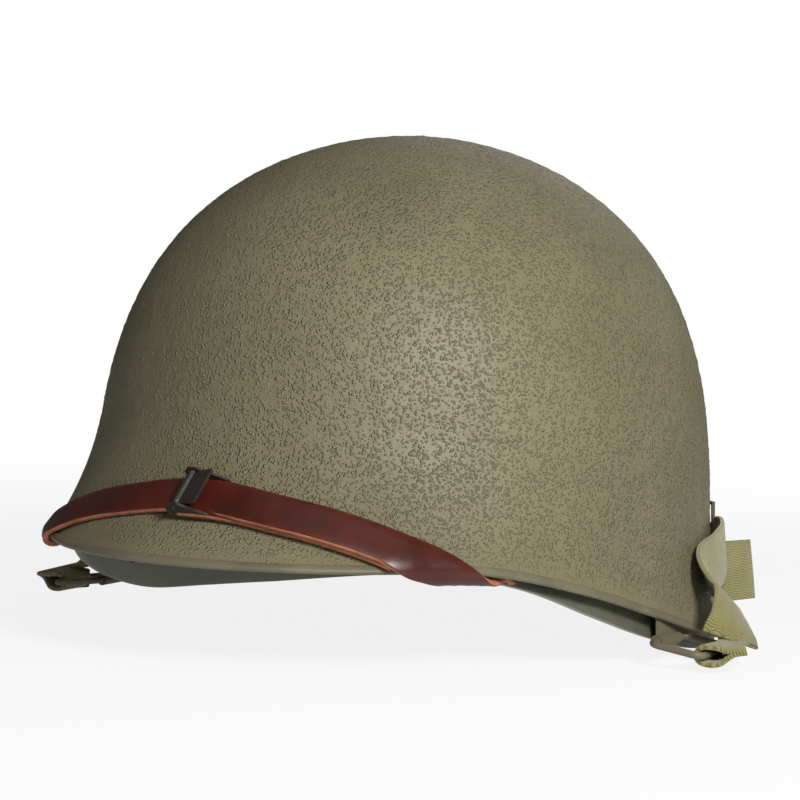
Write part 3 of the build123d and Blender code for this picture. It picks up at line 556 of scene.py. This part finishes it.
def liner_dome():
    """The liner: a moulded shell with a rounded edge."""
    shape = bmesh.new()
    outer, outer_rim = dome(shape, liner, 0.0, LINER_CELLS)
    bmesh.ops.recalc_face_normals(shape, faces=shape.faces)
    inner, inner_rim = dome(shape, liner, LINER_WALL, LINER_CELLS)
    # The inner faces take the lighter copy of the paint, which is painted light from below.
    for face in {face for vert in inner for face in vert.link_faces}:
        face.material_index = 1
    faced_inward(inner)
    edges = list(set(outer_rim) | set(inner_rim))
    bmesh.ops.bridge_loops(shape, edges=edges)
    bmesh.ops.bevel(shape, geom=edges, offset=LINER_EDGE, segments=2, profile=0.5, affect="EDGES",
                    material=-1)
    finished(shape, "liner_body", "liner", [LINER_PAINT, LINER_INSIDE_PAINTED_LIGHT], ["liner_shell"])


# Radius at which a hoop is spun before its points are laid
HOOP_RADIUS = 200


def hoop(section, place, steps):
    """A closed section spun into a hoop, each of its points then laid by place(bearing, out, up)."""
    shape = bmesh.new()
    corners = [shape.verts.new((HOOP_RADIUS + out, 0, up)) for out, up in section]
    edges = [shape.edges.new(pair) for pair in zip(corners, corners[1:] + corners[:1])]
    bmesh.ops.spin(shape, geom=corners + edges, cent=(0, 0, 0), axis=(0, 0, 1), angle=math.tau,
                   steps=steps, use_merge=True)
    for vert in shape.verts:
        bearing = math.degrees(math.atan2(vert.co.x, -vert.co.y))
        vert.co = place(bearing, math.hypot(vert.co.x, vert.co.y) - HOOP_RADIUS, vert.co.z)
    bmesh.ops.recalc_face_normals(shape, faces=shape.faces)
    return shape


def rim_frame(bearing):
    """Point on the pot's rim, the wall's outward normal there, and the way down past the rim."""
    height = pot.rim_height(bearing)
    edge = pot.spot(bearing, height, 0)
    face = pot.face(bearing, height, 0)
    ahead = bearing + 0.3
    round_way = pot.spot(ahead, pot.rim_height(ahead), 0) - edge
    down = face.cross(round_way).normalized()
    return edge, face, down if down.z < 0 else -down


# Sections are rows of (out, up): the hem's in millimetres, the bands' and straps' in shares of their size
HEM_SECTION = ((0.4, 0.3), (0.4, 1.9), (0.28, 2.2), (0.0, 2.3), (-1.1, 2.3), (-1.4, 2.2), (-1.5, 1.9),
               (-1.5, 0.3), (-1.35, -0.1), (-1.0, -0.4), (-0.55, -0.5), (-0.1, -0.4), (0.25, -0.1))


def rim_hem():
    """Rounded metal strip folded over the pot's edge."""
    rims = {}

    def place(bearing, out, up):
        key = round(bearing, 2)
        if key not in rims:
            rims[key] = rim_frame(bearing)
        edge, face, down = rims[key]
        return edge + face * out - down * up

    shape = hoop(HEM_SECTION, place, 320)
    finished(shape, "rim_hem", "pot", [RIM_PAINT], ["rim_band"])


BAND_SECTION = ((0.5, 0.02), (0.5, 0.98), (0.3, 1.0), (-0.3, 1.0), (-0.5, 0.98), (-0.5, 0.02), (-0.3, 0.0),
                (0.3, 0.0))
BAND_STEPS = 144
WEB_BAND_FOOT = 46.0
WEB_BAND_HIGH = 24.0
WEB_BAND_THICK = 1.5
WEB_BAND_INSET = 3.45
SWEAT_FOOT = 30.0
SWEAT_HIGH = 28.0
SWEAT_THICK = 2.0
SWEAT_INSET = 16.0
# The web band's ripple, and how far the sweatband's lower edge hangs and dips between its clips
RIPPLE = 0.25
SWEAT_HANG = 1.0
SWEAT_DIP = 1.6


def inner_bands():
    """Web band round the liner, and the leather sweatband hung inside it."""

    def web(bearing, out, up):
        ripple = RIPPLE * math.sin(math.radians(bearing * 9))
        height = WEB_BAND_FOOT + WEB_BAND_HIGH * up + ripple
        return liner.compass(bearing, height, WEB_BAND_INSET - out * WEB_BAND_THICK)

    def sweat(bearing, out, up):
        dip = SWEAT_DIP * math.cos(math.radians(bearing * 6)) * (1 - up)
        height = SWEAT_FOOT + SWEAT_HIGH * up + dip - SWEAT_HANG * (1 - up)
        return head.compass(bearing, height, SWEAT_INSET - out * SWEAT_THICK)

    finished(hoop(BAND_SECTION, web, BAND_STEPS), "suspension_web", "liner", [BAND_WEB],
             ["suspension_band"])
    finished(hoop(BAND_SECTION, sweat, BAND_STEPS), "sweatband_hoop", "liner", [SWEAT],
             ["sweatband"])


TAPE_SECTION = ((1.0, -0.35), (1.0, 0.35), (0.97, 0.8), (0.9, 1.0), (0.45, 1.0), (0.0, 1.0), (-0.45, 1.0),
                (-0.9, 1.0), (-0.97, 0.8), (-1.0, 0.35), (-1.0, -0.35), (-0.97, -0.8), (-0.9, -1.0),
                (-0.45, -1.0), (0.0, -1.0), (0.45, -1.0), (0.9, -1.0), (0.97, -0.8))
# Points of the section beyond this share of the half width are the strap's cut edge
TAPE_EDGE = 0.93
# Share of the strap's length over which its direction is taken
TAPE_LOOK = 0.002


def tape(stations, width, steps, bend=None):
    """A strap along stations of (place, face, thickness), with a map of the way along and across it.
    Its edges and its under side take the second material. bend moves points, given the share along the
    strap and the point."""
    spots = [station[0] for station in stations]
    faces = [station[1] for station in stations]
    thicks = [Vector((station[2], 0, 0)) for station in stations]
    rows = []
    for step in range(steps + 1):
        share = step / steps
        before, after = max(share - TAPE_LOOK, 0.0), min(share + TAPE_LOOK, 1.0)
        way = (through(spots, after) - through(spots, before)).normalized()
        across = way.cross(through(faces, share)).normalized()
        rows.append((through(spots, share), across, across.cross(way), through(thicks, share).x))
    lengths = [0.0]
    for low, high in zip(rows, rows[1:]):
        lengths.append(lengths[-1] + (high[0] - low[0]).length)
    shape = bmesh.new()
    count = len(TAPE_SECTION)
    bmesh.ops.create_grid(shape, x_segments=steps, y_segments=count, size=1.0)
    lay = shape.loops.layers.uv.new("strap")
    grid = {vert: (round((vert.co.x + 1) / 2 * steps), round((vert.co.y + 1) / 2 * count) % count)
            for vert in shape.verts}
    for face in shape.faces:
        for loop in face.loops:
            row, corner = grid[loop.vert]
            loop[lay].uv = (lengths[row], TAPE_SECTION[corner][0] * width / 2)
        sides = [abs(TAPE_SECTION[grid[vert][1]][0]) > TAPE_EDGE for vert in face.verts]
        unders = [TAPE_SECTION[grid[vert][1]][1] < 0 for vert in face.verts]
        face.material_index = 1 if all(sides) or all(unders) else 0
    for vert, (row, corner) in grid.items():
        spot, across, face, thick = rows[row]
        over, out = TAPE_SECTION[corner]
        vert.co = spot + across * (over * width / 2) + face * (out * thick / 2)
        if bend:
            vert.co = bend(row / steps, vert.co)
    bmesh.ops.remove_doubles(shape, verts=shape.verts, dist=0.0005)
    bmesh.ops.holes_fill(shape, edges=[edge for edge in shape.edges if edge.is_boundary], sides=0)
    bmesh.ops.recalc_face_normals(shape, faces=shape.faces)
    return shape


def joined(first, *others):
    """Several meshes as one."""
    for other in others:
        spare = bpy.data.meshes.new("spare")
        other.to_mesh(spare)
        other.free()
        first.from_mesh(spare)
        bpy.data.meshes.remove(spare)
    return first


# The leather's fold round the rim: inner radius, where it starts above the rim, and the strap's middle
FOLD_RADIUS = 2.4
FOLD_START = 1.4
FOLD_MIDDLE = FOLD_RADIUS + 1.75


def over_rim(share, spot):
    """Bends what reaches past the rim round it, on the inside."""
    edge, face, down = rim_frame(math.degrees(math.atan2(spot.x / POT_SIDE, -spot.y / POT_FRONT)))
    past = (spot - edge).dot(down) + FOLD_START
    if past <= 0:
        return spot
    proud = (spot - edge).dot(face)
    centre = spot - down * past - face * (proud + FOLD_RADIUS)
    turn = min(past / FOLD_MIDDLE, math.pi)
    beyond = max(past - math.pi * FOLD_MIDDLE, 0.0)
    reach = FOLD_RADIUS + proud
    return centre + face * (reach * math.cos(turn)) + down * (reach * math.sin(turn)) - down * beyond


LEATHER_WIDTH = 13.0
LEATHER_THICK = 1.9
# The lower layer of the doubled part, thinner and a little lower than the layer over it
UNDER_THICK = 1.8
UNDER_DROP = 1.2
LEATHER_REACH = 57
LEATHER_STEP = 3
UNDER_REACH = (-2, 36)
# Heights of the strap's middle and its gap to the pot, by the bearing to either side
STRAP_LEVELS = ((0.0, 47.2), (4.0, 46.9), (9.0, 45.8), (14.0, 44.2), (20.0, 42.2), (27.0, 39.0), (34.0, 34.8),
                (41.0, 29.6), (47.0, 23.6), (52.0, 17.5), (57.0, 11.0))
STRAP_SEATS = ((0.0, 2.0), (6.0, 1.4), (10.0, 0.8), (30.0, 0.8), (38.0, 1.2), (44.0, 0.9), (57.0, 0.9))
# How far the upper layer is raised, as a share of one thickness, by the bearing
DOUBLE_SHARES = ((-60.0, 0.0), (4.0, 0.0), (9.0, 1.0), (33.0, 1.0), (40.0, 0.0), (60.0, 0.0))
# The run inside the liner from the fold to the stud on the wearer's left, and the strap's face along it
STRAP_RUN = ((81.0, -92.0, 33.5), (84.5, -79.0, 35.0), (89.5, -67.0, 33.0), (97.2, -49.0, 27.0),
             (102.0, -24.7, 20.4))
FOLD_FACE = (-0.25, 0.25, -0.9)
RUN_FACES = ((-0.6, 0.2, -0.7), (-0.8, 0.3, -0.45), (-0.93, 0.3, -0.2), (-0.97, 0.2, 0.0), (-0.99, 0.1, 0.0))


def strap_station(bearing, lift, thick, drop=0.0):
    """Station of the leather strap on the pot, lifted off its seat and dropped below its line."""
    side = abs(bearing)
    height = on_line(STRAP_LEVELS, side) - drop
    seat = -on_line(STRAP_SEATS, side) - lift - thick / 2
    return pot.spot(bearing, height, seat), pot.face(bearing, height, seat), thick


def chin_strap():
    """Leather strap over the brim, folded round the rim at both ends, double on the left."""
    outer = [strap_station(bearing, LEATHER_THICK * on_line(DOUBLE_SHARES, bearing), LEATHER_THICK)
             for bearing in range(-LEATHER_REACH, LEATHER_REACH + 1, LEATHER_STEP)]
    under = [strap_station(bearing, 0.0, UNDER_THICK, UNDER_DROP)
             for bearing in range(*UNDER_REACH, LEATHER_STEP)]
    straps = [tape(outer, LEATHER_WIDTH, 260, over_rim), tape(under, LEATHER_WIDTH, 60)]
    for side in (-1, 1):
        end, _, _ = strap_station((LEATHER_REACH - 1.0) * side, 0.0, LEATHER_THICK)
        spots = [over_rim(0.0, end)] + [Vector((x * side, y, z)) for x, y, z in STRAP_RUN]
        looks = [Vector((x * side, y, z)) for x, y, z in (FOLD_FACE, *RUN_FACES)]
        stations = [(spot, look, LEATHER_THICK) for spot, look in zip(spots, looks)]
        straps.append(tape(stations, LEATHER_WIDTH, 60))
    finished(joined(*straps), "chin_strap_leather_run", "chin_strap", [LEATHER, FLESH],
             ["leather_strap"])


# Middle of the left bale's bar, the way of its hinge and the way out from the pot
BALE_BAR = Vector((131.612, -31.623, 5.906))
HINGE_WAY = Vector((0.09083, 0.995866, 0.0))
OUT_WAY = Vector((0.995866, -0.09083, 0.0))
WEB_WIDTH = 19.0
WEB_THICK = 1.8
# The straps lie this far off the pot, as an inset below zero
WEB_SEAT = -4.0
HOOK_BEARING = 128.5
HOOK_HEIGHT = 30.6
HOOK_SPOT = pot.spot(HOOK_BEARING, HOOK_HEIGHT, WEB_SEAT)
HOOK_FACE = pot.face(HOOK_BEARING, HOOK_HEIGHT, WEB_SEAT)
HOOK_ALONG = UP.cross(HOOK_FACE).normalized()
# Stations of the fold round the bar: way out, height and the turn of the strap's face in degrees
BALE_FOLD = ((9.0, 1.2, -80), (6.0, 0.2, -76), (3.0, -1.9, -80), (0.2, -2.7, -95), (-1.9, -1.9, -135),
             (-2.7, 0.0, -180), (-1.9, 1.9, -225), (0.2, 2.7, -265), (3.0, 2.5, -278), (6.0, 2.4, -276),
             (9.0, 3.2, -290))
# Stations from the fold up to the pot: way out, way along the hinge and height from the bar, then the face
WEB_RISE = (((2.6, 5.0, 4.0), (0.3, -0.25, 0.92)), ((1.0, 11.5, 8.0), (0.75, -0.35, 0.55)),
            ((-5.5, 22.0, 14.5), (0.94, -0.2, 0.28)))
# Stations on the pot: bearing and height, and for the near strap its inset
NEAR_RUN = ((91.0, 21.0, -3.4), (99.0, 24.5, -4.0), (107.0, 27.5, -5.0), (114.0, 29.0, -5.4))
FAR_RUN = ((-91.0, 21.0), (-99.0, 23.5), (-107.0, 26.5), (-114.0, 28.5), (-122.0, 30.5), (-135.0, 32.5),
           (-150.0, 35.0), (-165.0, 37.0), (-180.0, 37.8), (-195.0, 37.3), (-210.0, 34.8), (-220.0, 32.3))
# Distances from the hook at which the near strap and the far strap end
NEAR_ENDS = (-19.5, -15.0)
FAR_ENDS = (9.5, 6.0)
# Height that the near strap gathers to at the hook, and how much of the way each point goes there
GATHER_HEIGHT = 33.5
GATHER_SHARE = 0.32
# Free end of the near strap, hanging from the hook: places, thicknesses and its face
TAIL_WIDTH = 18.0
TAIL_RUN = ((104.3, 69.6, 33.5, 3.4), (106.0, 69.0, 22.0, 3.6), (107.6, 68.6, 11.0, 3.2))
TAIL_FACE = (0.88, -0.42, 0.15)


def flipped(row):
    """The same stations on the wearer's other side."""
    return [(Vector((-spot.x, spot.y, spot.z)), Vector((-face.x, face.y, face.z)), thick)
            for spot, face, thick in row]


def bale_fold():
    """Stations of the short doubled web that is sewn round the bale's bar."""
    rows = []
    for out, up, look in BALE_FOLD:
        turn = math.radians(look)
        spot = BALE_BAR + OUT_WAY * out + HINGE_WAY * (max(out, 0.0) * 0.45 - 1.5) + UP * up
        rows.append((spot, OUT_WAY * math.cos(turn) + UP * math.sin(turn), WEB_THICK))
    return rows


def web_on_pot(bearing, height, seat=WEB_SEAT):
    """Station of a web strap on the pot's wall."""
    return pot.spot(bearing, height, seat), pot.face(bearing, height, seat), WEB_THICK


def web_at_hook(ways):
    """Last stations of a web strap, at distances along the strap's line from the hook."""
    return [(HOOK_SPOT + HOOK_ALONG * way, HOOK_FACE, WEB_THICK) for way in ways]


def web_straps():
    """The two web chin straps: folded round their bales and hooked together behind the pot."""
    fold = bale_fold()
    rise = [(BALE_BAR + OUT_WAY * out + HINGE_WAY * along + UP * up, Vector(look), WEB_THICK)
            for (out, along, up), look in WEB_RISE]
    near = rise + [web_on_pot(*row) for row in NEAR_RUN] + web_at_hook(NEAR_ENDS)
    far = flipped(rise) + [web_on_pot(*row) for row in FAR_RUN] + web_at_hook(FAR_ENDS)
    tail = [(Vector(row[:3]), Vector(TAIL_FACE), row[3]) for row in TAIL_RUN]

    def bunched(share, spot):
        gather = max(share - 0.5, 0.0) / 0.5
        return Vector((spot.x, spot.y, spot.z + (GATHER_HEIGHT - spot.z) * GATHER_SHARE * gather))

    near_web = joined(tape(near, WEB_WIDTH, 150, bunched), tape(fold, WEB_WIDTH, 60),
                      tape(tail, TAIL_WIDTH, 24))
    far_web = joined(tape(far, WEB_WIDTH, 320), tape(flipped(fold), WEB_WIDTH, 60))
    finished(near_web, "near_chin_web", "pot", [CHIN_WEB, CHIN_WEB], ["web_strap_left", "web_tip"])
    finished(far_web, "far_chin_web", "pot", [CHIN_WEB, CHIN_WEB], ["web_strap_right"])


INNER_WEB_THICK = 1.5
CROWN_INSET = 6.9
CROWN_HEIGHTS = (48.0, 58.0, 68.0, 78.0, 88.0)
# The crown straps arch from the wall to the lace: where the arch starts, its height and its reach at the top
ARCH_FOOT = 94.5
ARCH_HIGH = 54.0
ARCH_REACH = 27.55
ARCH_STEPS = 8
# Each strap's loop round the lace: the lace's ring radius, the loop's radius and its turns in degrees
LACE_RING = 25.0
LOOP_RADIUS = 2.55
LOOP_TURNS = (130, 175, 220, 265, 310)


def inner_web(bearing, height, inset):
    """Station of a web strap along the liner's inside."""
    return (liner.compass(bearing, height, inset), liner.face(bearing, height, inset, liner.compass),
            INNER_WEB_THICK)


def crown_straps():
    """Six web straps that rise from the band and loop round the crown lace."""
    names = ("front_left", "side_left", "rear_left", "rear_right", "side_right", "front_right")
    for name, bearing in zip(names, (30, 90, 150, 210, 270, 330)):
        rows = [inner_web(bearing, height, CROWN_INSET) for height in CROWN_HEIGHTS]
        top = rows[-1][0]
        way = Vector((top.x, top.y, 0)).normalized()
        reach = math.hypot(top.x, top.y)
        for step in range(1, ARCH_STEPS + 1):
            turn = math.radians(90 * step / ARCH_STEPS)
            out = ARCH_REACH + (reach - ARCH_REACH) * math.cos(turn)
            spot = way * out + UP * (ARCH_FOOT + ARCH_HIGH * math.sin(turn))
            rows.append((spot, way * math.cos(turn) * 0.8 + UP * math.sin(turn), INNER_WEB_THICK))
        for degrees in LOOP_TURNS:
            turn = math.radians(degrees)
            look = way * math.cos(turn) + UP * math.sin(turn)
            lace = way * LACE_RING + UP * (ARCH_FOOT + ARCH_HIGH)
            rows.append((lace + look * LOOP_RADIUS, look, INNER_WEB_THICK))
        finished(tape(rows, WEB_WIDTH, 110), f"crown_web_{name}", "liner", [CROWN_WEB, CROWN_WEB],
                 [f"crown_strap_{name}"])


NAPE_BEARINGS = range(124, 237, 7)
NAPE_HEIGHT = 12.0
NAPE_INSET = 4.15
NAPE_WIDTH = 20.0


def nape_web():
    """Web strap across the nape."""
    rows = [inner_web(bearing, NAPE_HEIGHT, NAPE_INSET) for bearing in NAPE_BEARINGS]
    finished(tape(rows, NAPE_WIDTH, 90), "nape_web", "liner", [CROWN_WEB, CROWN_WEB],
             ["nape_strap"])


def soft_copy(node, name, body, finish):
    """A CAD solid's own mesh with its doubled points merged, so that it shades smooth."""
    shape = bmesh.new()
    shape.from_mesh(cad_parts[node].data)
    bmesh.ops.scale(shape, vec=(1 / MM, 1 / MM, 1 / MM), verts=shape.verts)
    bmesh.ops.remove_doubles(shape, verts=shape.verts, dist=0.002)
    finished(shape, name, body, [finish], [node])


steel_pot()
liner_dome()
rim_hem()
inner_bands()
chin_strap()
web_straps()
crown_straps()
nape_web()
soft_copy("crown_lace", "crown_lace_cord", "liner", LACE)

CAD_FINISHES = (
    (FITTINGS, ("bale_bracket_left", "bale_bracket_right", "front_eyelet", "a_washers", "suspension_rivets",
                "nape_snaps", "chin_stud_left", "chin_stud_right", "sweatband_clips", "strap_end_left",
                "strap_end_right")),
    (BALE_PAINT, ("bale_left", "bale_right")),
    (GUNMETAL, ("strap_buckle", "buckle_pin", "buckle_lever")),
    (PLAIN_WIRE, ("web_buckle", "web_hook", "sweatband_buckle")),
)
for finish, nodes in CAD_FINISHES:
    for node in nodes:
        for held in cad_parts[node].material_slots:
            held.material = finish.material


# The floor glows for the camera alone: the glow's share from near to far, and its share for other rays
FLOOR_HALF = 6.0
GLOW_NEAR = 0.2
GLOW_FAR = 1.1
GLOW_SHARES = (0.62, 0.76)
GLOW_BASE = 0.24


def floor():
    """Pale floor that shows almost white and keeps the object's shadow."""
    shape = bmesh.new()
    bmesh.ops.create_grid(shape, x_segments=1, y_segments=1, size=FLOOR_HALF)
    mesh = bpy.data.meshes.new("pale_floor")
    shape.to_mesh(mesh)
    shape.free()
    ground = bpy.data.objects.new("pale_floor", mesh)
    bpy.context.scene.collection.objects.link(ground)
    finish = Finish("pale_floor", Roughness=0.9, Specular_IOR_Level=0.0)
    finish.shader.inputs["Base Color"].default_value = (0.82, 0.82, 0.82, 1)
    glow = finish.node("ShaderNodeEmission", inputs={"Color": (1, 1, 1, 1), "Strength": 1.0})
    rays = finish.node("ShaderNodeLightPath", output="Is Camera Ray")
    far = finish.node("ShaderNodeVectorMath", {"operation": "LENGTH"}, {0: finish.place()}, output="Value")
    share = rays * far.ramp(GLOW_NEAR, GLOW_FAR, *GLOW_SHARES) + GLOW_BASE
    mix = finish.node("ShaderNodeMixShader", inputs={0: share, 2: glow})
    finish.tree.links.new(finish.shader.outputs[0], mix.socket.node.inputs[1])
    finish.tree.links.new(mix.socket, finish.tree.nodes["Material Output"].inputs["Surface"])
    mesh.materials.append(finish.material)


# Lamps: name, turn from the front to the left, rise, distance, size and power, in degrees, metres and watts
LAMPS = (("key", 50.0, 26.0, 1.1, 0.3, 12.8), ("overhead", 30.0, 70.0, 1.2, 0.9, 0.8),
         ("left_fill", -60.0, 12.0, 1.5, 1.0, 0.25), ("back_fill", 190.0, 30.0, 1.5, 1.0, 2.5))
LAMP_TARGET = Vector((0, 0, 0.08))
WORLD_FILL = 0.06
WHITE = (1.0, 1.0, 1.0, 1)
# The photograph's camera, fitted to the dome's outline: turn, rise and roll in degrees, distance in metres
VIEW_TURN = 26.99
VIEW_RISE = 0.25
VIEW_ROLL = -2.36
VIEW_DISTANCE = 0.7
VIEW_TARGET = Vector((0, 0, 0.0965))
VIEW_LENS = 83.475
VIEW_SHIFT = (-0.0202, -0.045)


def way_to(turn, rise):
    """Unit vector from the object to a place at a turn and a rise, in radians."""
    return Vector((math.sin(turn) * math.cos(rise), -math.cos(turn) * math.cos(rise), math.sin(rise)))


def pale_world():
    """Weak even fill, which the camera sees as white."""
    world = bpy.data.worlds.new("pale_studio")
    bpy.context.scene.world = world
    world.use_nodes = True
    tree = world.node_tree
    fill = tree.nodes["Background"]
    fill.inputs["Color"].default_value = WHITE
    fill.inputs["Strength"].default_value = WORLD_FILL
    seen = tree.nodes.new("ShaderNodeBackground")
    seen.inputs["Color"].default_value = WHITE
    path = tree.nodes.new("ShaderNodeLightPath")
    mix = tree.nodes.new("ShaderNodeMixShader")
    white = tree.nodes.new("ShaderNodeMath")
    white.operation = "MAXIMUM"
    tree.links.new(path.outputs["Is Camera Ray"], white.inputs[0])
    tree.links.new(path.outputs["Is Transmission Ray"], white.inputs[1])
    tree.links.new(white.outputs[0], mix.inputs[0])
    tree.links.new(fill.outputs[0], mix.inputs[1])
    tree.links.new(seen.outputs[0], mix.inputs[2])
    tree.links.new(mix.outputs[0], tree.nodes["World Output"].inputs["Surface"])


def lamps():
    """Soft round lamps that face the object."""
    for name, turn, rise, far, size, power in LAMPS:
        lamp = bpy.data.lights.new(name, "AREA")
        lamp.shape = "DISK"
        lamp.size = size
        lamp.energy = power
        stand = bpy.data.objects.new(name, lamp)
        bpy.context.scene.collection.objects.link(stand)
        back = way_to(math.radians(turn), math.radians(rise))
        stand.location = LAMP_TARGET + back * far
        stand.rotation_euler = back.to_track_quat("Z", "Y").to_euler()


def photo_camera():
    """Camera at the photograph's view."""
    lens = bpy.data.cameras.new("photo_view")
    camera = bpy.data.objects.new("photo_view", lens)
    bpy.context.scene.collection.objects.link(camera)
    turn, roll = math.radians(VIEW_TURN), math.radians(VIEW_ROLL)
    back = way_to(turn, math.radians(VIEW_RISE))
    level = Vector((math.cos(turn), math.sin(turn), 0))
    upright = back.cross(level)
    right = level * math.cos(roll) - upright * math.sin(roll)
    upward = upright * math.cos(roll) + level * math.sin(roll)
    pointed = Matrix((right, upward, back)).transposed().to_4x4()
    camera.matrix_world = Matrix.Translation(VIEW_TARGET + back * VIEW_DISTANCE) @ pointed
    lens.lens = VIEW_LENS
    lens.sensor_width = 36.0
    lens.shift_x, lens.shift_y = VIEW_SHIFT
    bpy.context.scene.camera = camera
    bpy.context.scene.view_settings.view_transform = "Standard"


floor()
pale_world()
lamps()
photo_camera()
